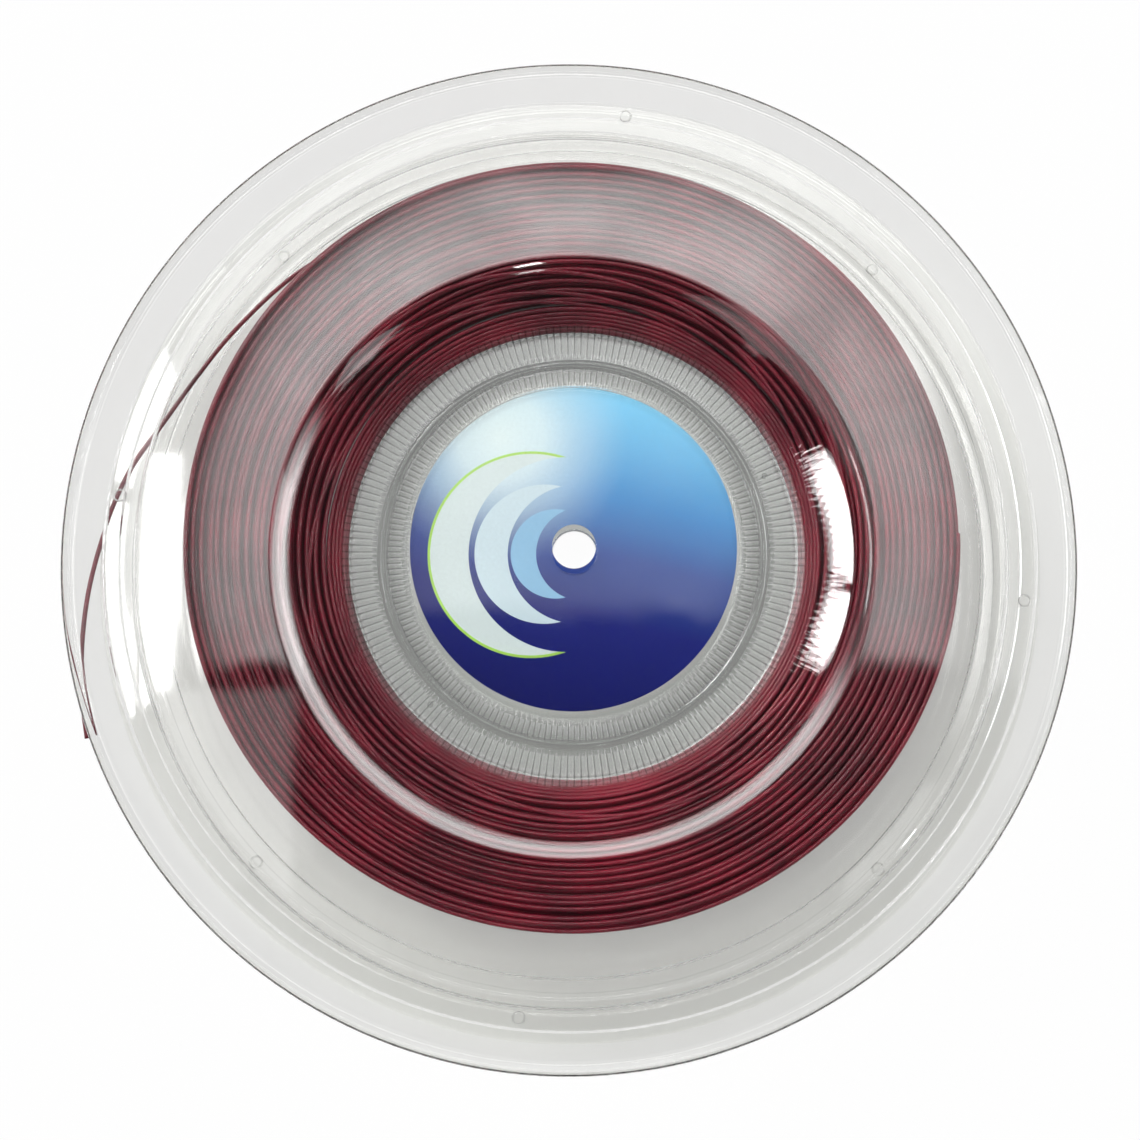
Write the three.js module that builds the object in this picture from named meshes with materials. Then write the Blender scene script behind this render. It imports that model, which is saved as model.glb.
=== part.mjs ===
// Reel of racket string: two clear moulded halves, a printed label between
// them, and 200 m of string wound on the drum with one loose end.
// Units are millimetres. The reel lies flat: +Z is the reel's axis, pointing
// out of the labelled front, and z = 0 is the land of the rear rim.
import * as THREE from 'three';

// ---- Driving dimensions ----
// Radii of one half, from the spindle hole outwards, as runs between edges.
const HOLE_RADIUS = 6.0;        // spindle hole through both webs and the label
const LABEL_RADIUS = 44.5;      // printed card
const LABEL_THICKNESS = 0.3;
const LABEL_SEAT_GAP = 0.02;    // between the card and the pocket's floor
const LABEL_HEADROOM = 0.2;     // spare height of the pocket over the card
const LABEL_PLAY = 2.2;         // radial play of the card in its pocket
const LABEL_SHIFT_X = -0.1;     // where the card has slipped to in its pocket
const LABEL_SHIFT_Y = 1.6;
const RING_MARGIN = 0.6;        // plain margin between card and inner ribbed ring
const RING_EDGE_RUN = 0.4;      // run of the small step up to that ring
const INNER_RING_RUN = 5.1;
const BEAD_RUN = 2.4;
const OUTER_RING_RUN = 6.5;
const HUB_WALL_RUN = 6.5;       // ribbed foot of the funnel round the hub
const FUNNEL_RUN = 9.5;         // plain part of the funnel
const SHOULDER_RUN = 4.5;       // gentler shoulder from the funnel to the flat
const FLAT_RUN = 34.5;          // flat of the flange
const STEP_EDGE_RUN = 0.4;      // run of each small step near the rim
const STEP_RUN = 3.4;           // tread of each small step
const BAND_RUN = 8.5;           // outer band between the last step and the lip
const LIP_EDGE_RUN = 0.3;
const LIP_WIDTH = 1.4;          // flat land on top of the lip

// Heights of one half, measured outwards from the plane where the halves meet.
const WEB_THICKNESS = 2.0;
const RING_RISE = 0.4;          // ribbed rings above the web
const BEAD_RISE = 0.8;          // bead above the ribbed rings
const FLANGE_SPACING = 19.2;    // between the inner faces of the two flanges
const WALL = 1.6;               // moulded wall
const FUNNEL_RISE = 4.2;
const SHOULDER_RISE = 1.46;
const FIRST_STEP_RISE = 0.6;
const SECOND_STEP_RISE = 0.3;
const EDGE_RISE = 0.9;          // last, sharp step before the outer band
const BAND_RISE = 1.2;
const LIP_RISE = 0.8;
const LIP_DEPTH = 2.4;          // lip, from its land to its underside

const DRUM_LIP = 1.5;           // drum wall outside the funnel's foot
const HALF_TURN_DEG = 38;       // the rear half is glued on turned by this much
const LATHE_STEPS = 60;

// String.
const STRING_DIAMETER = 1.25;
const STRING_CLEARANCE = 0.3;   // between string, core, drum and flanges
const FACE_TURN_GAP = 1.4;      // between the turns shown on the front face
const OUTER_TURN_GAP = 0.48;    // between the turns shown round the outside
const LOOP_STEPS = 24;
const LOOP_SIDES = 6;
const WINDING_RUN = 40.32;      // from the first to the last turn on the face
const WINDING_SHIFT = 4.2;      // the loose outer turns sag off centre by this
const TURNS_END_DEG = 105;      // where the last turn lets go of the winding
const LEAST_GAP = 0.4;
const TAIL_SIDES = 8;
const TAIL_STEPS = 66;

// Route of the loose end, chosen by hand; it lies on the rear flange and runs
// out past the rim.
const TAIL_ROUTE = [
  [-52.8, 95.9, 6.33], [-76.0, 82.6, 6.33], [-84.8, 75.3, 6.33],
  [-92.0, 67.7, 6.33], [-98.1, 60.2, 6.33], [-105.8, 49.3, 6.33],
  [-115.8, 33.4, 6.33], [-120.2, 26.2, 6.3], [-123.2, 19.6, 6.3],
  [-126.3, 10.6, 6.2], [-128.9, 0.0, 6.2], [-130.6, -11.0, 6.1],
  [-131.3, -21.9, 6.0], [-131.2, -32.7, 5.9], [-130.4, -40.9, 5.8],
  [-129.0, -49.5, 5.7],
];

// ---- Worked-out radii and heights ----
const RING_START = LABEL_RADIUS + RING_MARGIN;
const INNER_RING_START = RING_START + RING_EDGE_RUN;
const BEAD_START = INNER_RING_START + INNER_RING_RUN;
const OUTER_RING_START = BEAD_START + BEAD_RUN;
const HUB_FOOT = OUTER_RING_START + OUTER_RING_RUN;
const FUNNEL_START = HUB_FOOT + HUB_WALL_RUN;
const SHOULDER_START = FUNNEL_START + FUNNEL_RUN;
const FLAT_START = SHOULDER_START + SHOULDER_RUN;
const FIRST_STEP = FLAT_START + FLAT_RUN;
const SECOND_STEP = FIRST_STEP + STEP_EDGE_RUN + STEP_RUN;
const LAST_STEP = SECOND_STEP + STEP_EDGE_RUN + STEP_RUN;
const BAND_START = LAST_STEP + STEP_EDGE_RUN;
const BAND_END = BAND_START + BAND_RUN;
const LIP_START = BAND_END + LIP_EDGE_RUN;
const RIM_RADIUS = LIP_START + LIP_WIDTH;
const POCKET_RADIUS = LABEL_RADIUS + LABEL_PLAY;
const POCKET_DEPTH = (LABEL_THICKNESS + LABEL_HEADROOM) / 2;  // in each half
const DRUM_RADIUS = HUB_FOOT + DRUM_LIP;

const RING_HEIGHT = WEB_THICKNESS + RING_RISE;
const FLANGE_INNER = FLANGE_SPACING / 2;
const FLANGE_HEIGHT = FLANGE_INNER + WALL;
const SHOULDER_HEIGHT = FLANGE_HEIGHT - SHOULDER_RISE;
const FUNNEL_HEIGHT = SHOULDER_HEIGHT - FUNNEL_RISE;
const FIRST_STEP_HEIGHT = FLANGE_HEIGHT + FIRST_STEP_RISE;
const SECOND_STEP_HEIGHT = FIRST_STEP_HEIGHT + SECOND_STEP_RISE;
const BAND_HEIGHT = SECOND_STEP_HEIGHT + EDGE_RISE;
const BAND_END_HEIGHT = BAND_HEIGHT + BAND_RISE;
const RIM_HEIGHT = BAND_END_HEIGHT + LIP_RISE;
const MID_Z = RIM_HEIGHT;       // plane where the halves meet

// ---- Materials ----
const clear = new THREE.MeshStandardMaterial({
  color: 0xe4e6e2, roughness: 0.08, metalness: 0, transparent: true, opacity: 0.35,
});
const clearRear = clear.clone();
const labelCard = new THREE.MeshStandardMaterial({
  color: 0x2f5f9f, roughness: 0.4, metalness: 0,
});
const stringRed = new THREE.MeshStandardMaterial({
  color: 0x6e1420, roughness: 0.3, metalness: 0,
});

// ---- Shared shapes ----
// A ring solid: a closed profile of [radius, height] turned about +Z. The
// profile is given outwards along its top and back along its bottom.
function turned(profile, steps) {
  const points = profile.map(([radius, height]) => new THREE.Vector2(radius, height));
  points.reverse();
  points.push(points[0].clone());
  const geometry = new THREE.LatheGeometry(points, steps);
  geometry.rotateX(Math.PI / 2);
  return geometry;
}

// Joins rings of points, each with the same count, into one closed skin.
function skin(rings, closedLoop) {
  const sides = rings[0].length;
  const positions = rings.flat().flatMap((point) => point.toArray());
  const indices = [];
  const spans = closedLoop ? rings.length : rings.length - 1;
  for (let i = 0; i < spans; i += 1) {
    const here = i * sides;
    const next = ((i + 1) % rings.length) * sides;
    for (let j = 0; j < sides; j += 1) {
      const k = (j + 1) % sides;
      indices.push(here + j, here + k, next + k);
      indices.push(here + j, next + k, next + j);
    }
  }
  if (!closedLoop) {
    const last = (rings.length - 1) * sides;
    for (let j = 1; j < sides - 1; j += 1) {
      indices.push(0, j + 1, j);
      indices.push(last, last + j, last + j + 1);
    }
  }
  const geometry = new THREE.BufferGeometry();
  geometry.setAttribute('position', new THREE.Float32BufferAttribute(positions, 3));
  geometry.setIndex(indices);
  geometry.computeVertexNormals();
  return geometry;
}

function named(name, geometry, material) {
  const mesh = new THREE.Mesh(geometry, material);
  mesh.name = name;
  return mesh;
}

// ---- Moulded halves ----
// The string side of a half, from the drum's edge out to the flat flange. It
// is the shown side, lower by the wall.
const HUB_SLOPE = (FUNNEL_HEIGHT - RING_HEIGHT) / HUB_WALL_RUN;
const DRUM_HEIGHT = RING_HEIGHT + HUB_SLOPE * DRUM_LIP - WALL;
const STRING_SIDE = [
  [DRUM_RADIUS, DRUM_HEIGHT], [FUNNEL_START, FUNNEL_HEIGHT - WALL],
  [SHOULDER_START, SHOULDER_HEIGHT - WALL], [FLAT_START, FLANGE_INNER],
];

// Height of the string side at a radius, less an inset taken square to it.
function belowFlange(radius, inset) {
  const past = STRING_SIDE.findIndex(([corner]) => radius <= corner);
  if (past < 0) return FLANGE_INNER - inset;
  const to = Math.max(1, past);
  const [fromRadius, fromHeight] = STRING_SIDE[to - 1];
  const [toRadius, toHeight] = STRING_SIDE[to];
  const slope = (toHeight - fromHeight) / (toRadius - fromRadius);
  const run = Math.max(0, radius - fromRadius);
  return fromHeight + slope * run - inset * Math.hypot(1, slope);
}

function halfProfile() {
  const shown = [
    [HOLE_RADIUS, POCKET_DEPTH], [HOLE_RADIUS, WEB_THICKNESS],
    [RING_START, WEB_THICKNESS], [INNER_RING_START, RING_HEIGHT],
    [BEAD_START, RING_HEIGHT], [BEAD_START + BEAD_RUN / 2, RING_HEIGHT + BEAD_RISE],
    [OUTER_RING_START, RING_HEIGHT], [HUB_FOOT, RING_HEIGHT],
    [FUNNEL_START, FUNNEL_HEIGHT], [SHOULDER_START, SHOULDER_HEIGHT],
    [FLAT_START, FLANGE_HEIGHT], [FIRST_STEP, FLANGE_HEIGHT],
    [FIRST_STEP + STEP_EDGE_RUN, FIRST_STEP_HEIGHT], [SECOND_STEP, FIRST_STEP_HEIGHT],
    [SECOND_STEP + STEP_EDGE_RUN, SECOND_STEP_HEIGHT], [LAST_STEP, SECOND_STEP_HEIGHT],
    [BAND_START, BAND_HEIGHT], [BAND_END, BAND_END_HEIGHT],
    [LIP_START, RIM_HEIGHT], [RIM_RADIUS, RIM_HEIGHT],
  ];
  const stringSide = [
    [RIM_RADIUS, RIM_HEIGHT - LIP_DEPTH], [BAND_END, BAND_END_HEIGHT - WALL],
    [BAND_START + STEP_EDGE_RUN, BAND_HEIGHT - WALL],
    [LAST_STEP + STEP_EDGE_RUN, SECOND_STEP_HEIGHT - WALL],
    [FIRST_STEP + 2 * STEP_EDGE_RUN, FIRST_STEP_HEIGHT - WALL],
    [FIRST_STEP + STEP_EDGE_RUN, FLANGE_INNER], ...[...STRING_SIDE].reverse(),
    [DRUM_RADIUS, 0], [POCKET_RADIUS, 0], [POCKET_RADIUS, POCKET_DEPTH],
  ];
  return [...shown, ...stringSide];
}

function frontHalf() {
  const mesh = named('front_half', turned(halfProfile(), LATHE_STEPS), clear);
  mesh.position.z = MID_Z;
  return mesh;
}

function rearHalf() {
  const mesh = named('rear_half', turned(halfProfile(), LATHE_STEPS), clearRear);
  mesh.rotation.set(Math.PI, 0, THREE.MathUtils.degToRad(HALF_TURN_DEG));
  mesh.position.z = MID_Z;
  return mesh;
}

// ---- Label ----
// It lies in the rear half's pocket, under the front web.
function label() {
  const bottom = LABEL_SEAT_GAP - POCKET_DEPTH;
  const top = bottom + LABEL_THICKNESS;
  const profile = [
    [HOLE_RADIUS, bottom], [HOLE_RADIUS, top], [LABEL_RADIUS, top], [LABEL_RADIUS, bottom],
  ];
  const mesh = named('label', turned(profile, LATHE_STEPS), labelCard);
  mesh.position.set(LABEL_SHIFT_X, LABEL_SHIFT_Y, MID_Z);
  return mesh;
}

// ---- String ----
const STRING_RADIUS = STRING_DIAMETER / 2;
const FLAT_SHARE = Math.cos(Math.PI / LOOP_STEPS);  // middle of a side against its corner
const FACE_START = (DRUM_RADIUS + STRING_CLEARANCE + STRING_RADIUS) / FLAT_SHARE;
const WINDING_RADIUS = FACE_START + WINDING_RUN;
const TUBE_INSET = STRING_CLEARANCE + STRING_RADIUS;
const OUTER_RUN = FLANGE_SPACING - 2 * TUBE_INSET;
const FACE_LOOPS = Math.floor(WINDING_RUN / (STRING_DIAMETER + FACE_TURN_GAP));
const OUTER_LOOPS = Math.floor(OUTER_RUN / (STRING_DIAMETER + OUTER_TURN_GAP));
const FACE_PITCH = WINDING_RUN / FACE_LOOPS;
const OUTER_PITCH = OUTER_RUN / OUTER_LOOPS;

// A point of the winding: the further out a turn is, the more it hangs off
// centre. The height keeps the middle of each side below the flange.
function windingPoint(radius, angle, inset) {
  const sag = WINDING_SHIFT * Math.max(0, (radius - FACE_START) / WINDING_RUN);
  const x = radius * Math.cos(angle);
  const y = radius * Math.sin(angle) + sag;
  return new THREE.Vector3(x, y, MID_Z + belowFlange(Math.hypot(x, y) * FLAT_SHARE, inset));
}

// The turns: out over the front face, then back over the outside. In each
// loop the radius gains a quarter cosine of the pitch, or the height loses a
// quarter sine, so that neighbouring turns keep their distance at the corner.
function turnsRoute() {
  const end = THREE.MathUtils.degToRad(TURNS_END_DEG);
  const loops = FACE_LOOPS + OUTER_LOOPS;
  const route = [];
  for (let i = 0; i <= loops * LOOP_STEPS; i += 1) {
    const loop = Math.min(loops - 1, Math.floor(i / LOOP_STEPS));
    const part = ((i / LOOP_STEPS - loop) * Math.PI) / 2;
    const angle = end + (i / LOOP_STEPS - loops) * 2 * Math.PI;
    const onFace = loop < FACE_LOOPS;
    const gained = onFace ? loop + 1 - Math.cos(part) : FACE_LOOPS;
    const point = windingPoint(FACE_START + FACE_PITCH * gained, angle, TUBE_INSET);
    if (!onFace) point.z -= OUTER_PITCH * (loop - FACE_LOOPS + Math.sin(part));
    route.push(point);
  }
  return route;
}

// Both ends run straight on for one diameter.
function withStraightEnds(route) {
  const start = route[0].clone().sub(route[1]).setLength(STRING_DIAMETER).add(route[0]);
  const last = route[route.length - 1];
  const end = last.clone().sub(route[route.length - 2]).setLength(STRING_DIAMETER).add(last);
  return [start, ...route, end];
}

function leastGap(route) {
  let least = Infinity;
  for (let i = 0; i < route.length; i += 1) {
    for (let j = i + LOOP_STEPS / 2; j < route.length; j += 1) {
      const toNext = route[Math.min(j + 1, route.length - 1)];
      const line = new THREE.Line3(route[j], toNext);
      const near = line.closestPointToPoint(route[i], true, new THREE.Vector3());
      least = Math.min(least, near.distanceTo(route[i]));
    }
  }
  return least - STRING_DIAMETER;
}

// A section of the tube: a ring of points square to the route, one side up.
function tubeRings(route, sides) {
  return route.map((point, i) => {
    const before = route[Math.max(0, i - 1)];
    const after = route[Math.min(route.length - 1, i + 1)];
    const along = after.clone().sub(before).normalize();
    const across = new THREE.Vector3(0, 0, 1).cross(along).normalize();
    const up = along.clone().cross(across);
    return Array.from({ length: sides }, (_, j) => {
      const turn = ((j + 0.5) / sides) * 2 * Math.PI;
      return point.clone()
        .addScaledVector(across, STRING_RADIUS * Math.cos(turn))
        .addScaledVector(up, STRING_RADIUS * Math.sin(turn));
    });
  });
}

const turns = withStraightEnds(turnsRoute());

function stringTurns() {
  const gap = leastGap(turns);
  console.log(`string_turns: least gap to itself ${gap.toFixed(2)} mm, wanted over ${LEAST_GAP} mm`);
  return named('string_turns', skin(tubeRings(turns, LOOP_SIDES), false), stringRed.clone());
}

// The turns below the shown ones, as one solid with the same corners.
function stringCore() {
  const below = TUBE_INSET + STRING_RADIUS + STRING_CLEARANCE;
  const bore = (DRUM_RADIUS + STRING_CLEARANCE) / FLAT_SHARE;
  const outer = WINDING_RADIUS - (STRING_RADIUS + STRING_CLEARANCE) / FLAT_SHARE;
  const corners = [FUNNEL_START, SHOULDER_START, FLAT_START].map((radius) => radius / FLAT_SHARE);
  const radii = [bore, ...corners, outer];
  const rings = Array.from({ length: LOOP_STEPS }, (_, i) => {
    const angle = THREE.MathUtils.degToRad(TURNS_END_DEG) + (i / LOOP_STEPS) * 2 * Math.PI;
    const front = radii.map((radius) => windingPoint(radius, angle, below));
    const rear = radii.map((radius) => {
      const point = windingPoint(radius, angle, STRING_CLEARANCE);
      return point.setZ(2 * MID_Z - point.z);
    });
    return [...front, ...rear.reverse()];
  });
  return named('string_core', skin(rings, true), stringRed.clone());
}

// The loose end starts face to face with the last turn and leaves it straight.
function stringTail() {
  const last = turns[turns.length - 1];
  const along = last.clone().sub(turns[turns.length - 2]).normalize();
  const start = last.clone().addScaledVector(along, STRING_CLEARANCE);
  const straight = start.clone().addScaledVector(along, STRING_DIAMETER);
  const chosen = TAIL_ROUTE.map((point) => new THREE.Vector3(...point));
  const path = new THREE.CatmullRomCurve3([start, straight, ...chosen], false, 'centripetal');
  console.log(`string_tail: ${path.getLength().toFixed(1)} mm long`);
  const section = new THREE.Shape();
  for (let j = 0; j < TAIL_SIDES; j += 1) {
    const turn = (j / TAIL_SIDES) * 2 * Math.PI;
    const corner = [STRING_RADIUS * Math.cos(turn), STRING_RADIUS * Math.sin(turn)];
    if (j === 0) section.moveTo(...corner);
    else section.lineTo(...corner);
  }
  section.closePath();
  const geometry = new THREE.ExtrudeGeometry(section, { steps: TAIL_STEPS, extrudePath: path });
  return named('string_tail', geometry, stringRed.clone());
}

// ---- The reel ----
const reel = new THREE.Group();
reel.name = 'string_reel';
reel.add(frontHalf(), rearHalf(), label(), stringCore(), stringTurns(), stringTail());

export default reel;
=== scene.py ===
"""A reel of racket string lying on its back: two clear moulded halves, a printed
card between their webs, and dark red string wound on the drum, one end loose.

Lengths in this file are written in millimetres in the reel's own frame, with +Z
along its axis, and become metres where a mesh, lamp or camera is made."""

import math

import bpy
import numpy as np
from mathutils import Matrix, Vector


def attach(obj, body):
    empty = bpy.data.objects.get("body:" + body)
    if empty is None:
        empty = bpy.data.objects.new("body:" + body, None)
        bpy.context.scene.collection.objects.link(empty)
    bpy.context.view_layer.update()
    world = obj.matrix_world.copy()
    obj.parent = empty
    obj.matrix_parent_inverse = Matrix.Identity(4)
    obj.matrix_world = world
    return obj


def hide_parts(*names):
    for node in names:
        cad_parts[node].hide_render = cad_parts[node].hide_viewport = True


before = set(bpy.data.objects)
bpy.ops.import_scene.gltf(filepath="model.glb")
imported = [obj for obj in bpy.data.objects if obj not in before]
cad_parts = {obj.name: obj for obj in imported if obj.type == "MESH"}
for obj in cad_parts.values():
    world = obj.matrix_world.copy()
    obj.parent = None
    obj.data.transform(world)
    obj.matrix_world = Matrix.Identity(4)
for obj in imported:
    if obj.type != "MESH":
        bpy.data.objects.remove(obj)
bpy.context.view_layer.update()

# ---------------------------------------------------------------------------
# Camera
# It stands 0.36 m above the shelf, a little towards the near side and tilted
# 7 degrees, as the photograph was taken.
# ---------------------------------------------------------------------------
MM = 0.001
camera = bpy.data.objects.new("camera", bpy.data.cameras.new("camera"))
bpy.context.collection.objects.link(camera)
camera.matrix_world = (
    Matrix.Translation((0.9 * MM, -32.8 * MM, 360.0 * MM))
    @ Matrix.Rotation(math.radians(6.64), 4, "X")
    @ Matrix.Rotation(math.radians(-1.49), 4, "Y")
)
camera.data.sensor_width = 36.0
camera.data.lens = 40.13
camera.data.shift_x = -0.0357
camera.data.shift_y = -0.0389
bpy.context.scene.camera = camera

# ---------------------------------------------------------------------------
# Loose end of the string
# The last 0.2 m of the one length of string: a thick, springy monofilament of
# dark red polyester, drawn and coated. It leaves the winding by the rear flange,
# lifts off it and bows out to the rim, because it keeps some of its coiled set.
# ---------------------------------------------------------------------------
STRING_DIAMETER = 1.25
FREE_ROUTE = [
    (-28.14, 103.27, 6.325), (-29.38, 103.11, 6.325), (-52.8, 95.9, 6.33),
    (-76.0, 82.6, 6.4), (-84.8, 75.3, 6.7), (-92.0, 67.7, 7.3),
    (-98.1, 60.2, 8.2), (-105.4, 49.3, 9.6), (-115.0, 33.4, 11.8),
    (-119.2, 26.2, 12.8), (-122.2, 19.6, 13.7), (-125.3, 10.6, 14.8),
    (-128.0, 0.0, 15.9), (-129.9, -11.0, 16.7), (-130.7, -21.9, 17.2),
    (-130.6, -32.7, 17.4), (-129.8, -40.9, 17.4), (-128.4, -49.4, 17.2),
]


def curve_through(points, steps):
    """Centripetal Catmull-Rom curve: each span is a cubic between two points, whose
    slopes come from their neighbours, weighted by the root of the distances."""
    p = np.asarray(points, float)
    p = np.vstack([2 * p[0] - p[1], p, 2 * p[-1] - p[-2]])
    d = np.sqrt(np.linalg.norm(np.diff(p, axis=0), axis=1))[:, None]
    bend = np.diff(p, axis=0) / d
    across = (p[2:] - p[:-2]) / (d[1:] + d[:-1])
    slope = bend[:-1] + bend[1:] - across
    start, end, span = p[1:-2], p[2:-1], d[1:-1]
    t = np.linspace(0, 1, steps, endpoint=False)[:, None, None]
    inside = (
        (2 * t**3 - 3 * t**2 + 1) * start
        + (t**3 - 2 * t**2 + t) * slope[:-1] * span
        + (3 * t**2 - 2 * t**3) * end
        + (t**3 - t**2) * slope[1:] * span
    )
    return np.vstack([inside.transpose(1, 0, 2).reshape(-1, 3), p[-2]])


def tube(path, radius, sides):
    """Rings of a round section carried along a path: each is square to the path, and
    its first side points the same way up all along. Returns rows by sides by 3."""
    along = np.gradient(path, axis=0)
    along /= np.linalg.norm(along, axis=1)[:, None]
    across = np.cross((0.0, 0.0, 1.0), along)
    across /= np.linalg.norm(across, axis=1)[:, None]
    up = np.cross(along, across)
    turn = (np.arange(sides) + 0.5) / sides * 2 * np.pi
    ring = across[:, None] * np.cos(turn)[:, None] + up[:, None] * np.sin(turn)[:, None]
    return path[:, None] + ring * radius


def surface(name, grids, material, wrapped=False):
    """One mesh of closed skins. Each grid is rows by columns by 3, in millimetres,
    closed along its columns. Its rows either close on the first row too, as on a
    ring, or end in a flat cap on the first and the last row."""
    corners, faces, sizes, offset = [], [], [], 0
    for grid in grids:
        rows, columns = grid.shape[:2]
        index = np.arange(rows * columns).reshape(rows, columns) + offset
        ahead = np.roll(index, -1, axis=0) if wrapped else index[1:]
        here = index if wrapped else index[:-1]
        quads = [here, np.roll(here, -1, 1), np.roll(ahead, -1, 1), ahead]
        faces.append(np.stack(quads, -1).reshape(-1))
        sizes.append(np.full(here.size, 4))
        if not wrapped:
            faces += [index[0, ::-1], index[-1]]
            sizes.append(np.array([columns, columns]))
        corners.append(grid.reshape(-1, 3))
        offset += rows * columns
    corners, faces, sizes = map(np.concatenate, (corners, faces, sizes))
    mesh = bpy.data.meshes.new(name)
    mesh.vertices.add(len(corners))
    mesh.vertices.foreach_set("co", (corners * MM).astype(np.float32).ravel())
    mesh.loops.add(len(faces))
    mesh.loops.foreach_set("vertex_index", faces.astype(np.int32))
    mesh.polygons.add(len(sizes))
    mesh.polygons.foreach_set("loop_start", np.cumsum(sizes) - sizes)
    mesh.update(calc_edges=True)
    mesh.shade_smooth()
    mesh.materials.append(material)
    piece = bpy.data.objects.new(name, mesh)
    bpy.context.collection.objects.link(piece)
    return piece


def linear(colour):
    """The linear RGBA of an sRGB hex colour such as "6e1520"."""
    value = np.array([int(colour[i : i + 2], 16) / 255 for i in (0, 2, 4)])
    low, high = value / 12.92, ((value + 0.055) / 1.055) ** 2.4
    return (*np.where(value <= 0.04045, low, high).tolist(), 1.0)


def new_material(name):
    """An empty node tree with its output and a Principled shader."""
    material = bpy.data.materials.new(name)
    material.use_nodes = True
    nodes = material.node_tree.nodes
    return material, nodes["Principled BSDF"], nodes["Material Output"]


def add(owner, kind, settings=None, stops=(), **links):
    """Adds one node to a material or world: settings are its attributes or the values
    of its numbered or named inputs, stops are a ramp's positions and RGBA colours, and
    links go by input name or number (as i0, i1)."""
    tree = owner.node_tree
    node = tree.nodes.new("ShaderNode" + kind)
    for key, value in (settings or {}).items():
        if isinstance(key, int) or key in node.inputs:
            node.inputs[key].default_value = value
        else:
            setattr(node, key, value)
    if stops:
        ramp = node.color_ramp.elements
        for _ in stops[2:]:
            ramp.new(0.5)
        for element, (position, colour) in zip(ramp, stops):
            element.position = position
            element.color = colour
    for key, source in links.items():
        target = int(key[1:]) if key[0] == "i" and key[1:].isdigit() else key.replace("_", " ")
        tree.links.new(source, node.inputs[target])
    return node


def red_polyester():
    """Polyester monofilament, drawn and coated: a deep wine red with a soft gleam
    under a thin, glossier coat. The dye takes unevenly over some tens of millimetres,
    and drawing leaves a fine unevenness of about a millimetre."""
    material, shader, _ = new_material("polyester_monofilament_wine")
    place = add(material, "TexCoord")
    dye = add(material, "TexNoise", {"Scale": 45.0, "Detail": 3.0}, Vector=place.outputs["Object"])
    wines = [(0.3, linear("50061a")), (0.7, linear("7a0f27"))]
    shade = add(material, "ValToRGB", None, wines, Fac=dye.outputs["Fac"])
    drawn = add(material, "TexNoise", {"Scale": 900.0, "Detail": 2.0}, Vector=place.outputs["Object"])
    bump = add(material, "Bump", {"Strength": 0.15, "Distance": 0.00005}, Height=drawn.outputs["Fac"])
    tree = material.node_tree
    tree.links.new(shade.outputs["Color"], shader.inputs["Base Color"])
    tree.links.new(bump.outputs["Normal"], shader.inputs["Normal"])
    shader.inputs["Roughness"].default_value = 0.28
    shader.inputs["Specular IOR Level"].default_value = 0.35
    shader.inputs["Coat Weight"].default_value = 0.35
    shader.inputs["Coat Roughness"].default_value = 0.05
    shader.inputs["IOR"].default_value = 1.57
    return material


FREE_SPAN_STEPS = 16
FREE_SIDES = 16
string_material = red_polyester()
free_path = curve_through(FREE_ROUTE, FREE_SPAN_STEPS)
loose_end = surface(
    "string_loose_end", [tube(free_path, STRING_DIAMETER / 2, FREE_SIDES)], string_material
)
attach(loose_end, "root")
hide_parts("string_tail")

# ---------------------------------------------------------------------------
# Rear half
# Clear general-purpose polystyrene, injection moulded in a polished mould. Its
# web, ribbed rings, funnel, flange, steps and lip are one turned wall. The front
# half is the same moulding turned over.
# ---------------------------------------------------------------------------
MIDDLE = 15.0
RIB_COUNT = 200
RIB_DEPTH = 0.18
NEARLY_HALF = 0.45
# Shown side, from the spindle hole outwards: radius, height over the joint,
# rounding of the corner, and depth of the creases between the ribs from there on.
SHOWN_SIDE = [
    (6.0, 0.25, 0.05, 0), (6.0, 2.0, 0.25, 0), (45.1, 2.0, 0.2, 0), (45.5, 2.4, 0.15, RIB_DEPTH),
    (50.6, 2.4, 0.15, 0), (51.0, 2.95, 0.3, 0), (51.8, 3.2, 0.4, 0), (52.6, 2.95, 0.3, 0),
    (53.0, 2.4, 0.15, RIB_DEPTH), (59.5, 2.4, 0.6, RIB_DEPTH / 2), (66.0, 5.54, 2.5, 0),
    (75.5, 9.74, 1.6, 0), (80.0, 11.2, 0.22, 0), (114.5, 11.2, 0.2, 0), (114.9, 11.8, 0.2, 0),
    (118.3, 11.8, 0.15, 0), (118.7, 12.1, 0.15, 0), (122.1, 12.1, 0.12, 0), (122.5, 13.0, 0.2, 0),
    (129.6, 14.0, 0.6, 0), (131.9, 15.0, 0.3, 0), (132.7, 15.0, 0.8, 0),
]
# String side, from the lip back to the joint.
STRING_SIDE = [
    (132.7, 12.6, 0.9, 0), (131.0, 12.6, 0.3, 0), (122.9, 11.4, 0.2, 0), (122.5, 10.5, 0.2, 0),
    (115.3, 10.2, 0.2, 0), (114.9, 9.6, 0.2, 0), (80.0, 9.6, 0.5, 0), (75.5, 8.14, 1.2, 0),
    (66.0, 3.94, 2.5, 0), (61.0, 1.52, 0.1, 0), (61.0, 0.01, 0.05, 0), (46.7, 0.01, 0.05, 0),
    (46.7, 0.25, 0.05, 0),
]


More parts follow.
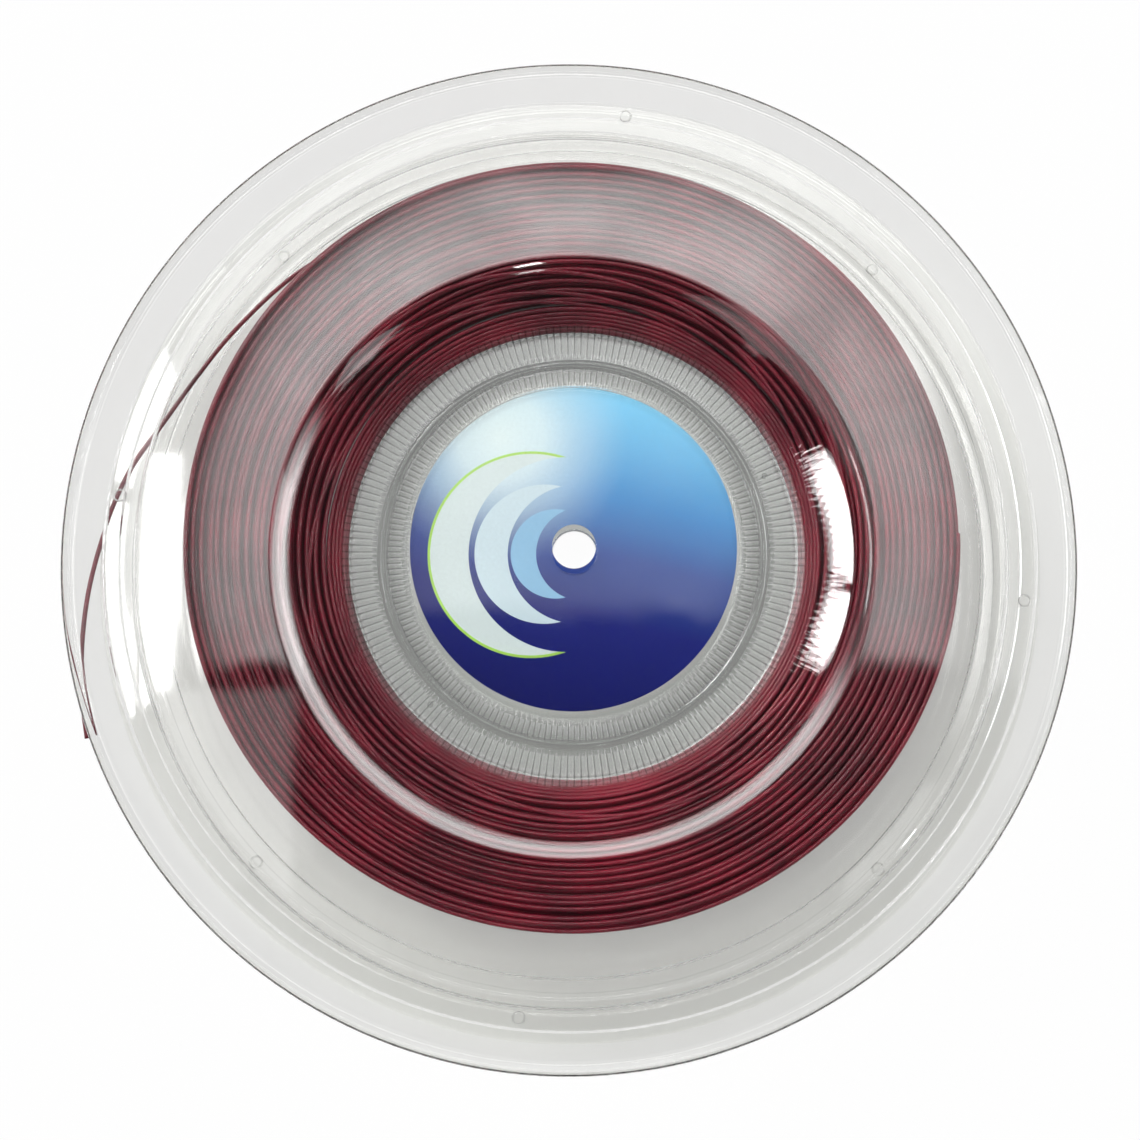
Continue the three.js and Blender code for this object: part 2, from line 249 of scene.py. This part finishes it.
def eased(corners):
    """A closed outline with its corners eased: each becomes two points, one on either
    side of it and that far away, or nearly half way to the next corner at most.
    Smooth shading rounds what lies between them."""
    corner, reach = corners[:, :2], corners[:, 2:3]
    before, after = np.roll(corner, 1, 0) - corner, np.roll(corner, -1, 0) - corner
    far_before = np.linalg.norm(before, axis=1)[:, None]
    far_after = np.linalg.norm(after, axis=1)[:, None]
    start = corner + before / far_before * np.minimum(reach, far_before * NEARLY_HALF)
    end = corner + after / far_after * np.minimum(reach, far_after * NEARLY_HALF)
    return np.stack([start, end], 1).reshape(-1, 2)


def moulded_half():
    """The closed outline turned about the axis. Over the ribbed stretches each point
    is drawn in along the outline's normal, by the square of how far it is from the
    middle of its rib: round-backed ribs with a crease between each two."""
    corners = np.array(SHOWN_SIDE + STRING_SIDE, float)
    outline = eased(corners)
    # The ribs start just past one corner and stop just before the next.
    depth = np.stack([np.roll(corners[:, 3], 1), corners[:, 3]], 1).reshape(-1)
    slope = np.roll(outline, -1, 0) - np.roll(outline, 1, 0)
    normal = np.stack([-slope[:, 1], slope[:, 0]], -1)
    normal /= np.linalg.norm(normal, axis=1)[:, None]
    # Places across one rib: its crease, then round its back.
    across = np.array([0.0, 0.1, 0.3, 0.5, 0.7, 0.9])
    angle = (np.arange(RIB_COUNT)[:, None] + across).reshape(-1) / RIB_COUNT * 2 * np.pi
    crease = np.tile((1 - 2 * across) ** 2, RIB_COUNT)
    drawn_in = depth[:, None] * crease[None, :]
    radius = outline[:, :1] - normal[:, :1] * drawn_in
    height = outline[:, 1:] - normal[:, 1:] * drawn_in
    return np.stack([radius * np.cos(angle), radius * np.sin(angle), height], -1)[::-1]


def greys(stops):
    """A ramp's stops from positions and plain numbers."""
    return [(position, (level, level, level, 1)) for position, level in stops]


def clear_polystyrene():
    """Moulded crystal polystyrene: water clear with a faint grey-green cast, and so
    glossy that it mirrors the room. The mould's polish leaves a very slight waviness.
    The fine ribs scatter some of the light, so the ribbed rings are painted greyer,
    with painted shade in their creases and along their edges. Lamps shine through it,
    because thin clear walls hardly dim the light."""
    material, shader, output = new_material("clear_polystyrene")
    place = add(material, "TexCoord")
    # Painted shade: a greyer tone on the ribbed rings, by the distance from the axis in
    # millimetres, and darker lines along their edges, where the light is turned away, and
    # a painted highlight that makes the bead between the rings a little paler. Under it
    # lies the plastic's own faint grey-green.
    flat = add(material, "VectorMath", {"operation": "MULTIPLY", 1: (1, 1, 0)}, i0=place.outputs["Object"])
    radius = add(material, "VectorMath", {"operation": "LENGTH"}, i0=flat.outputs["Vector"])
    tones = [
        (0.0, "f6f7f5"), (45.1, "f6f7f5"), (45.3, "b9bab9"), (45.7, "dedfde"), (50.4, "dedfde"),
        (50.8, "c4c5c4"), (51.2, "fafaf9"), (52.4, "fafaf9"), (52.8, "b4b5b4"), (53.2, "dedfde"),
        (59.2, "dedfde"), (59.6, "a9aaa9"), (60.1, "f3f2f2"), (132.7, "f3f3f2"),
    ]
    tone_stops = [(at * MM, linear(colour)) for at, colour in tones]
    tone = add(material, "ValToRGB", None, tone_stops, Fac=radius.outputs["Value"])
    rings = greys((at * MM, on) for at, on in [(0.0, 0), (45.5, 1), (50.6, 0), (53.0, 1), (59.5, 0)])
    ribbed = add(material, "ValToRGB", None, rings, Fac=radius.outputs["Value"])
    ribbed.color_ramp.interpolation = "CONSTANT"
    # Painted shade in the creases between the ribs, which the light leaves dark.
    axes = add(material, "SeparateXYZ", None, Vector=place.outputs["Object"])
    angle = add(material, "Math", {"operation": "ARCTAN2"}, i0=axes.outputs["Y"], i1=axes.outputs["X"])
    ribs = add(material, "Math", {"operation": "MULTIPLY", 1: RIB_COUNT / (2 * math.pi)},
               i0=angle.outputs[0])
    crease = add(material, "Math", {"operation": "PINGPONG", 1: 0.5}, i0=ribs.outputs[0])
    dark = add(material, "MapRange", {"From Min": 0.05, "From Max": 0.16, "To Min": 0.5},
               Value=crease.outputs[0])
    shaded = add(material, "Mix", {"data_type": "FLOAT", 2: 1.0}, i0=ribbed.outputs["Color"],
                 i3=dark.outputs["Result"])
    # The plastic's own tint, times the painted shade of the rings and creases.
    tint_and_painted_shade = add(material, "VectorMath", {"operation": "SCALE"}, i0=tone.outputs["Color"],
                 Scale=shaded.outputs[0])
    wave = add(material, "TexNoise", {"Scale": 18.0, "Detail": 1.0}, Vector=place.outputs["Object"])
    bump = add(material, "Bump", {"Strength": 0.06, "Distance": 0.002}, Height=wave.outputs["Fac"])
    tree = material.node_tree
    tree.links.new(tint_and_painted_shade.outputs["Vector"], shader.inputs["Base Color"])
    tree.links.new(bump.outputs["Normal"], shader.inputs["Normal"])
    shader.inputs["Transmission Weight"].default_value = 1.0
    shader.inputs["IOR"].default_value = 1.59
    frosted = add(material, "MapRange", {"To Min": 0.03, "To Max": 0.25}, Value=ribbed.outputs["Color"])
    tree.links.new(frosted.outputs["Result"], shader.inputs["Roughness"])
    path = add(material, "LightPath")
    through = add(material, "BsdfTransparent", {"Color": linear("f8f9f6")})
    mixed = add(material, "MixShader", None, i0=path.outputs["Is Shadow Ray"],
                i1=shader.outputs["BSDF"], i2=through.outputs["BSDF"])
    tree.links.new(mixed.outputs["Shader"], output.inputs["Surface"])
    return material


clear_material = clear_polystyrene()
half_grid = moulded_half()
REAR_TURN = math.radians(38)


def turned_over(grid, turn):
    """The same moulding as the rear half: turned half a turn about X, then about Z."""
    x, y, z = grid[..., 0], -grid[..., 1], -grid[..., 2]
    c, s = math.cos(turn), math.sin(turn)
    return np.stack([x * c - y * s, x * s + y * c, z + MIDDLE], -1)


def glaze(piece):
    """Keeps flat walls flat to the eye where they meet a rounding, and attaches the half
    to the root body."""
    weighted = piece.modifiers.new("flat_walls", "WEIGHTED_NORMAL")
    weighted.mode = "FACE_AREA"
    weighted.weight = 80
    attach(piece, "root")


def ring_of(outline, steps):
    """A closed outline of radius and height turned about the axis."""
    outline = np.asarray(outline, float)
    angle = np.arange(steps) / steps * 2 * np.pi
    radius, height = outline[:, :1], outline[:, 1:]
    parts = [radius * np.cos(angle), radius * np.sin(angle), height * np.ones(steps)]
    return np.stack(parts, -1)


def ejector_marks(first):
    """Raised rings that the mould's four ejector pins left on the tread of the upper
    step, a quarter turn apart. Each is a small outline turned about its own axis."""
    outline = [(1.25, 11.9), (1.35, 12.28), (1.6, 12.32), (1.75, 11.9)]
    centres = np.radians(first + 90 * np.arange(4))
    offsets = 119.9 * np.stack([np.cos(centres), np.sin(centres), 0 * centres], -1)
    return [ring_of(outline[::-1], 20) + offset for offset in offsets]


def gate_nubs():
    """Two snapped-off gates, where the plastic ran in: low nubs on the ribbed rings."""
    outline = [(0.15, 2.3), (0.2, 2.62), (0.6, 2.58), (0.8, 2.3)]
    spots = 56.0 * np.array([(math.cos(a), math.sin(a), 0.0) for a in (0.38, 3.96)])
    return [ring_of(outline[::-1], 14) + spot for spot in spots]


marked_rear = [half_grid, *ejector_marks(84.0)]
rear_half = surface(
    "rear_moulding", [turned_over(grid, REAR_TURN) for grid in marked_rear], clear_material, True
)
glaze(rear_half)
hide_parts("rear_half")

# ---------------------------------------------------------------------------
# Label
# One round card, printed in blues and coated, cut with a hole for the spindle.
# It lies loose in the shallow pocket between the two webs.
# ---------------------------------------------------------------------------
AROUND = 180
LABEL_CENTRE = (-0.1, 1.6)
LABEL_HOLE, LABEL_RADIUS = 6.0, 44.5
LABEL_BOTTOM, LABEL_TOP = 14.77, 15.07
LABEL_OUTLINE = [
    (LABEL_HOLE, LABEL_BOTTOM), (LABEL_RADIUS, LABEL_BOTTOM),
    (LABEL_RADIUS, LABEL_TOP), (LABEL_HOLE, LABEL_TOP),
]


def printed_card():
    """Coated card, offset printed: navy at the foot through royal blue to sky blue, and
    paler at the upper left, where a painted reflection of the room lies over the print.
    On its left three pale crescents stand one in another, the largest with a lime edge,
    and a fine grain of print dots breaks up the flat tones. The coating is so smooth
    that it mirrors the room as the clear web over it does."""
    material, shader, _ = new_material("printed_coated_card")
    place = add(material, "TexCoord")
    to_centre = (-LABEL_CENTRE[0] * MM, -LABEL_CENTRE[1] * MM, -LABEL_TOP * MM)
    centred = add(material, "Mapping", {"Location": to_centre}, Vector=place.outputs["Object"])
    axes = add(material, "SeparateXYZ", None, Vector=centred.outputs["Vector"])
    slant = add(material, "Math", {"operation": "MULTIPLY_ADD", 1: 0.25}, i0=axes.outputs["X"],
                i2=axes.outputs["Y"])
    edge = LABEL_RADIUS * MM
    rise = add(material, "MapRange", {"From Min": -edge, "From Max": edge}, Value=slant.outputs[0])
    blues = [(0.0, "14185c"), (0.3, "1b2272"), (0.5, "27458f"), (0.68, "2f7fc0"), (1.0, "6cc0ea")]
    blue_stops = [(position, linear(colour)) for position, colour in blues]
    fade = add(material, "ValToRGB", None, blue_stops, Fac=rise.outputs["Result"])
    # Painted reflection: the paler patch at the upper left, thinning outwards over 34 mm.
    spot = add(material, "VectorMath", {"operation": "DISTANCE", 1: (-0.020, 0.030, 0)},
               i0=centred.outputs["Vector"])
    glare_tones = [(0.0, "dfe9ea", 0.9), (0.012, "dbe7ea", 0.8), (0.034, "b9d3e2", 0.0)]
    glare_stops = [(position, (*linear(colour)[:3], cover)) for position, colour, cover in glare_tones]
    pale = add(material, "ValToRGB", None, glare_stops, Fac=spot.outputs["Value"])
    laid = add(material, "Mix", {"data_type": "RGBA"}, i0=pale.outputs["Alpha"],
               i6=fade.outputs["Color"], i7=pale.outputs["Color"])
    ink = laid.outputs[2]
    # Crescents: each is what one disc shows past another that lies over it.
    for across, radius, cover_across, cover_radius, colour in (
        (-0.0115, 0.0282, -0.0020, 0.0266, "a4cf5a"), (-0.0115, 0.0275, -0.0020, 0.0266, "ccd6da"),
        (-0.0080, 0.0190, 0.0010, 0.0190, "c3d3de"), (-0.0050, 0.0122, 0.0025, 0.0128, "86b3d6"),
    ):
        disc, cover = (
            add(material, "VectorMath", {"operation": "DISTANCE", 1: (x, -0.002, 0)},
                i0=centred.outputs["Vector"])
            for x in (across, cover_across)
        )
        within = add(material, "Math", {"operation": "LESS_THAN", 1: radius}, i0=disc.outputs["Value"])
        past = add(material, "Math", {"operation": "GREATER_THAN", 1: cover_radius},
                   i0=cover.outputs["Value"])
        both = add(material, "Math", {"operation": "MULTIPLY"}, i0=within.outputs[0], i1=past.outputs[0])
        laid = add(material, "Mix", {"data_type": "RGBA", 7: linear(colour)}, i0=both.outputs[0], i6=ink)
        ink = laid.outputs[2]
    # Real print dots are 0.15 mm apart. They are drawn 0.8 mm apart, to show at all.
    dots = add(material, "TexNoise", {"Scale": 1250.0, "Detail": 1.0}, Vector=centred.outputs["Vector"])
    grain = add(material, "MapRange", {"To Min": 0.93, "To Max": 1.07}, Value=dots.outputs["Fac"])
    toned = add(material, "VectorMath", {"operation": "SCALE"}, i0=ink, Scale=grain.outputs["Result"])
    material.node_tree.links.new(toned.outputs["Vector"], shader.inputs["Base Color"])
    shader.inputs["Roughness"].default_value = 0.12
    return material


card_grid = ring_of(LABEL_OUTLINE, AROUND) + np.array([*LABEL_CENTRE, 0.0])
label = surface("label_card", [card_grid], printed_card(), True)
label.data.shade_flat()
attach(label, "root")
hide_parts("label")

# ---------------------------------------------------------------------------
# Winding
# About 200 m of the string in one unbroken length, machine wound to and fro
# between the flanges. Loose on its outer turns, it has sagged off centre, and
# its turns wander, cross and leave dark gaps on the faces.
# ---------------------------------------------------------------------------
WINDING_INNER, WINDING_OUTER = 61.95, 102.78
WINDING_SAG = 4.2
TURN_STEPS = 180
noise = np.random.default_rng(7)


def wander(count, waves):
    """A smooth random drift along a winding, about 1 high: a sum of sines, each with
    its number of waves to a turn, a random phase and a random strength."""
    t = np.arange(count) / TURN_STEPS
    total = np.zeros(count)
    for wave in waves:
        phase, strength = noise.uniform(0, 2 * np.pi), noise.uniform(0.4, 1.0)
        total += strength * np.sin(2 * np.pi * wave * t + phase)
    return total / math.sqrt(len(waves))


def spiral(stops, side, start):
    """One run of string over a face. Each stop gives a turn, and there the radius, the
    depth under the flange and how far the string wanders. Further out it hangs off
    centre by a share of the winding's sag. side is 1 on the front, -1 on the rear."""
    turn, radius, depth, loose = np.transpose(stops)
    count = int(turn[-1] * TURN_STEPS) + 1
    t = np.linspace(0, turn[-1], count)
    angle = start + t * 2 * np.pi
    loose = np.interp(t, turn, loose)
    r = np.interp(t, turn, radius) + loose * wander(count, (0.37, 0.81, 1.3, 2.1))
    r = np.clip(r, WINDING_INNER, WINDING_OUTER)
    sag = WINDING_SAG * (r - WINDING_INNER) / (WINDING_OUTER - WINDING_INNER)
    x, y = r * np.cos(angle), r * np.sin(angle) + sag
    out = np.hypot(x, y)
    flange = np.interp(out, (61.0, 66.0, 75.5, 80.0), (1.52, 3.94, 8.14, 9.6))
    square = 1 + 0.09 * np.clip((80 - out) / 1.5, 0, 1)
    down = np.interp(t, turn, depth) + 0.5 * loose * np.abs(wander(count, (0.53, 1.17, 1.9)))
    return np.stack([x, y, MIDDLE + side * (flange - down * square)], -1)


def stacked(radius, low, high, turns, loose, sag, start=0.0):
    """Turns side by side up a drum of steady radius, with a little wander."""
    count = int(turns * TURN_STEPS) + 1
    t = np.arange(count) / (count - 1)
    angle = start + t * turns * 2 * np.pi
    r = radius - loose * np.abs(wander(count, (0.41, 0.93, 1.7)))
    z = low + (high - low) * t + 0.5 * loose * wander(count, (0.61, 1.3))
    return np.stack([r * np.cos(angle), r * np.sin(angle) + sag, z], -1)


def wound(name, runs):
    """A piece of the winding, from the routes of its runs of string."""
    grids = [tube(run, STRING_DIAMETER / 2, 8) for run in runs]
    piece = surface(name, grids, string_material)
    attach(piece, "root")
    return piece


# Tight and close round the hub, loose and open over the funnel, then even.
FACE = [(0, 61.95, 0.66, 0.05), (5, 66.4, 0.7, 0.12), (11.5, 80.2, 1.1, 0.55), (22.5, 102.3, 0.8, 0.4)]
UNDER = [(0, 62.4, 1.8, 0.05), (3.5, 66.4, 1.9, 0.2), (10.5, 80.0, 2.7, 0.6), (21.5, 101.6, 2.2, 0.4)]
DEEP = [(0, 67.0, 3.5, 0.2), (7, 80.0, 4.3, 0.5), (18, 101.0, 3.6, 0.5)]
# A turn that slips out across the others, and dives under them at both ends.
SLIPPED = [(0, 66.8, 2.4, 0), (0.06, 68.2, 0.7, 0), (0.3, 77.6, 0.68, 0), (0.4, 79.6, 2.4, 0)]
front_face = wound("winding_front", [spiral(FACE, 1, 0.4)])
front_under = wound("winding_front_under", [spiral(UNDER, 1, 2.1), spiral(DEEP, 1, 5.0)])
front_crossing = wound("winding_crossing", [
    spiral(SLIPPED, 1, start) for start in (0.15, 0.9, 1.25, 2.4, 3.9, 5.1)
])
rear_face = wound("winding_rear", [spiral(FACE, -1, 1.4), spiral(UNDER, -1, 3.1)])
outer_turns = wound("winding_outer", [
    stacked(WINDING_OUTER, 6.4, 23.6, 13, 0.3, WINDING_SAG),
    stacked(WINDING_OUTER - 1.1, 6.9, 23.0, 12, 0.3, WINDING_SAG, 2.0),
])
drum_turns = wound("winding_drum", [stacked(61.75, 13.9, 16.1, 2.5, 0.05, 0.0)])
HEART_OUTLINE = [
    (69.0, 14.2), (76.5, 10.9), (81.0, 9.6), (100.4, 9.6),
    (100.4, 20.4), (81.0, 20.4), (76.5, 19.1), (69.0, 15.8),
]
heart_grid = ring_of(HEART_OUTLINE, AROUND)
far_out = np.hypot(heart_grid[..., 0], heart_grid[..., 1])
heart_grid[..., 1] += WINDING_SAG * (far_out - WINDING_INNER) / (WINDING_OUTER - WINDING_INNER)
heart = surface("winding_heart", [heart_grid], string_material, True)
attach(heart, "root")
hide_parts("string_core")
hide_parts("string_turns")

# ---------------------------------------------------------------------------
# Front half
# The same clear polystyrene moulding, glued web to web on the rear half with the
# card between them. Its hub faces out, and two snapped-off gates show on its rings.
# ---------------------------------------------------------------------------
marked_half = [half_grid, *ejector_marks(83.3), *gate_nubs()]
front_half = surface(
    "front_moulding", [grid + np.array([0.0, 0.0, MIDDLE]) for grid in marked_half],
    clear_material, True,
)
glaze(front_half)
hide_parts("front_half")

# ---------------------------------------------------------------------------
# Shelf, lamps and room
# A white shelf, two strip lamps, and a room whose ceiling is bright towards the far
# side and dark over the camera. The clear plastic mirrors it, as in the photograph.
# ---------------------------------------------------------------------------


def white_shelf():
    """Matt white laminate. Part of its white is its own, so that it reads white from
    the camera and through or in the clear plastic, and part is lit and takes shade."""
    material, shader, output = new_material("white_laminate")
    shader.inputs["Base Color"].default_value = (0.8, 0.8, 0.8, 1)
    shader.inputs["Roughness"].default_value = 0.6
    shader.inputs["Specular IOR Level"].default_value = 0.2
    own = add(material, "Emission", {"Strength": 1.0})
    path = add(material, "LightPath")
    seen = add(material, "Math", {"operation": "ADD"}, i0=path.outputs["Is Glossy Ray"],
               i1=path.outputs["Is Transmission Ray"])
    dimmer = add(material, "Math", {"operation": "MULTIPLY", 1: 0.2}, i0=seen.outputs[0])
    share = add(material, "Math", {"operation": "MULTIPLY_ADD", 1: 0.97},
                i0=path.outputs["Is Camera Ray"], i2=dimmer.outputs[0])
    mixed = add(material, "MixShader", None, i0=share.outputs[0], i1=shader.outputs["BSDF"],
                i2=own.outputs["Emission"])
    material.node_tree.links.new(mixed.outputs["Shader"], output.inputs["Surface"])
    return material


# Half its width, and how far it lies under the lip, so that they don't coincide.
SHELF_REACH, SHELF_DROP = 3.0, 0.0002
shelf_mesh = bpy.data.meshes.new("shelf")
shelf_mesh.from_pydata(
    [(x * SHELF_REACH, y * SHELF_REACH, -SHELF_DROP) for x, y in ((-1, -1), (1, -1), (1, 1), (-1, 1))],
    [], [(0, 1, 2, 3)],
)
shelf_mesh.materials.append(white_shelf())
shelf = bpy.data.objects.new("shelf", shelf_mesh)
bpy.context.collection.objects.link(shelf)


def strip_lamp(name, place, length, width, energy):
    """An area lamp at a place in metres, its long side level, facing the reel."""
    lamp = bpy.data.lights.new(name, "AREA")
    lamp.shape, lamp.size, lamp.size_y, lamp.energy = "RECTANGLE", length, width, energy
    holder = bpy.data.objects.new(name, lamp)
    holder.location = place
    holder.rotation_euler = Vector(place).to_track_quat("Z", "Y").to_euler()
    bpy.context.collection.objects.link(holder)


strip_lamp("side_lamp", (-1.3, 0.9, 0.9), 0.5, 0.3, 3.0)
strip_lamp("far_lamp", (0.2, 1.3, 1.0), 1.8, 0.18, 5.0)

world = bpy.data.worlds.new("room")
world.use_nodes = True
bpy.context.scene.world = world
# A direction is told by its slopes: how far it goes right and away for each step up.
direction = add(world, "TexCoord")
axes = add(world, "SeparateXYZ", None, Vector=direction.outputs["Generated"])
up = add(world, "Math", {"operation": "MAXIMUM", 1: 0.02}, i0=axes.outputs["Z"])
right = add(world, "Math", {"operation": "DIVIDE"}, i0=axes.outputs["X"], i1=up.outputs[0])
away = add(world, "Math", {"operation": "DIVIDE"}, i0=axes.outputs["Y"], i1=up.outputs[0])
slopes = add(world, "CombineXYZ", None, X=right.outputs[0], Y=away.outputs[0])
lean = add(world, "VectorMath", {"operation": "LENGTH"}, i0=slopes.outputs[0])

# Brightness is written so that 0.1 is the shelf's white, which keeps every stop of a
# ramp below 1. The room's strength brings it up again. A pane's edge is a slope.
ROOM_STRENGTH = 10.0
PANE_EDGE = 0.004


def panel(left, end, near, far, brightness):
    """A pane of even brightness and soft edges, between two slopes to the right and
    two slopes away."""
    product = None
    for value, low, high in ((right, left, end), (away, near, far)):
        centre, half = (low + high) / 2, (high - low) / 2
        off = add(world, "Math", {"operation": "SUBTRACT", 1: centre}, i0=value.outputs[0])
        off = add(world, "Math", {"operation": "ABSOLUTE"}, i0=off.outputs[0])
        top = brightness if product else 1.0
        inside = add(world, "MapRange", {"interpolation_type": "SMOOTHSTEP", "From Min": half + PANE_EDGE,
                                         "From Max": half - PANE_EDGE, "To Max": top},
                     Value=off.outputs[0])
        if product:
            inside = add(world, "Math", {"operation": "MULTIPLY"}, i0=inside.outputs[0],
                         i1=product.outputs[0])
        product = inside
    return product


# Ceiling that the flat of the flange mirrors: a round field over the far side.
field = add(world, "VectorMath", {"operation": "DISTANCE", 1: (0.006, 0.108, 0)}, i0=slopes.outputs[0])
field_stops = greys([
    (0, 0.095), (0.1, 0.13), (0.125, 0.1), (0.14, 0.05), (0.185, 0.07), (0.215, 0.35),
    (0.25, 0.39), (0.275, 0.32), (0.287, 0.25), (0.299, 0.015), (0.32, 0.0),
])
ceiling = add(world, "ValToRGB", None, field_stops, Fac=field.outputs["Value"])
# Its near edge is soft, waves a little, and lies nearer at the left and the right.
aside = add(world, "Math", {"operation": "ABSOLUTE"}, i0=right.outputs[0])
edge = add(world, "MapRange", {"interpolation_type": "SMOOTHSTEP", "From Min": 0.14, "From Max": 0.21,
                               "To Min": 0.012, "To Max": -0.028}, Value=aside.outputs[0])
ripple = add(world, "TexNoise", {"Scale": 16.0, "Detail": 2.0}, Vector=slopes.outputs[0])
edge = add(world, "Math", {"operation": "MULTIPLY_ADD", 1: 0.04}, i0=ripple.outputs["Fac"],
           i2=edge.outputs[0])
over = add(world, "Math", {"operation": "SUBTRACT"}, i0=away.outputs[0], i1=edge.outputs[0])
far_side = add(world, "MapRange", {"interpolation_type": "SMOOTHSTEP", "From Min": 0.012,
                                   "From Max": 0.028}, Value=over.outputs[0])
ceiling = add(world, "Math", {"operation": "MULTIPLY"}, i0=ceiling.outputs["Color"],
              i1=far_side.outputs[0])
# It is brighter further off, and a little patchy.
further = add(world, "MapRange", {"From Min": 0.1, "From Max": 0.33, "To Min": 0.6}, Value=away.outputs[0])
patches = add(world, "TexNoise", {"Scale": 13.0, "Detail": 3.0}, Vector=slopes.outputs[0])
patches = add(world, "MapRange", {"From Min": 0.3, "From Max": 0.7, "To Min": 0.78, "To Max": 1.22},
              Value=patches.outputs["Fac"])
further = add(world, "Math", {"operation": "MULTIPLY"}, i0=further.outputs[0], i1=patches.outputs[0])
ceiling = add(world, "Math", {"operation": "MULTIPLY"}, i0=ceiling.outputs[0], i1=further.outputs[0])
# Brighter ceiling beyond it, far off and a little right, which the shoulder mirrors.
past_field = add(world, "VectorMath", {"operation": "DISTANCE", 1: (0.0, 0.06, 0)}, i0=slopes.outputs[0])
beyond_stops = greys([(0.38, 0.0), (0.40, 0.45), (0.45, 0.75), (0.50, 0.6), (0.56, 0.0)])
beyond = add(world, "ValToRGB", None, beyond_stops, Fac=past_field.outputs["Value"])
towards = add(world, "VectorMath", {"operation": "DOT_PRODUCT", 1: (0.42, 0.906, 0)}, i0=slopes.outputs[0])
towards = add(world, "Math", {"operation": "DIVIDE"}, i0=towards.outputs["Value"], i1=lean.outputs["Value"])
towards = add(world, "MapRange", {"interpolation_type": "SMOOTHSTEP", "From Min": 0.1, "From Max": 0.4},
              Value=towards.outputs[0])
beyond = add(world, "Math", {"operation": "MULTIPLY"}, i0=beyond.outputs["Color"], i1=towards.outputs[0])
# Walls, by a quarter of how far the direction leans from upright.
quarter = add(world, "Math", {"operation": "MULTIPLY", 1: 0.25}, i0=lean.outputs["Value"])
wall_stops = greys([(0.0, 0.003), (0.3, 0.005), (0.42, 0.03), (1.0, 0.09)])
walls = add(world, "ValToRGB", None, wall_stops, Fac=quarter.outputs[0])
# Panes of light: slopes right from and to, slopes away from and to, brightness.
PANES = [
    (-0.46, -0.30, -0.01, 0.34, 0.04),     # glow, mirrored in the flange at the left
    (-0.46, -0.212, -0.40, -0.01, 0.085),  # glow, in the flange at the lower left
    (0.352, 0.47, 0.0, 0.30, 0.26),        # glow, in the steps at the right
    (0.30, 0.42, -0.30, -0.165, 0.24),     # glow, in the steps at the lower right
    (-3.4, -1.8, 1.8, 3.2, 3.0),           # low window, in the risers of the steps
    (-0.330, -0.301, -0.01, 0.17, 0.9),    # window, in the flange at the left
    (-0.745, -0.63, 0.225, 0.43, 1.4),     # window's upper pane, in the funnel at the right
    (-0.745, -0.63, -0.14, 0.195, 1.4),    # window's lower pane, in the same place
    (0.045, 0.085, -0.332, -0.312, 3.0),   # bulb, in the shoulder at the top
]
total = add(world, "Math", {"operation": "ADD"}, i0=ceiling.outputs[0], i1=beyond.outputs[0])
for part in (walls, *(panel(*pane) for pane in PANES)):
    total = add(world, "Math", {"operation": "ADD"}, i0=total.outputs[0], i1=part.outputs[0])
room = world.node_tree.nodes["Background"]
room.inputs["Strength"].default_value = ROOM_STRENGTH
world.node_tree.links.new(total.outputs[0], room.inputs["Color"])
white = add(world, "Background", {"Color": (1, 1, 1, 1), "Strength": 1.0})
world_path = add(world, "LightPath")
backdrop = add(world, "MixShader", None, i0=world_path.outputs["Is Camera Ray"],
               i1=room.outputs["Background"], i2=white.outputs["Background"])
world.node_tree.links.new(
    backdrop.outputs["Shader"], world.node_tree.nodes["World Output"].inputs["Surface"]
)
bpy.context.scene.view_settings.view_transform = "Standard"
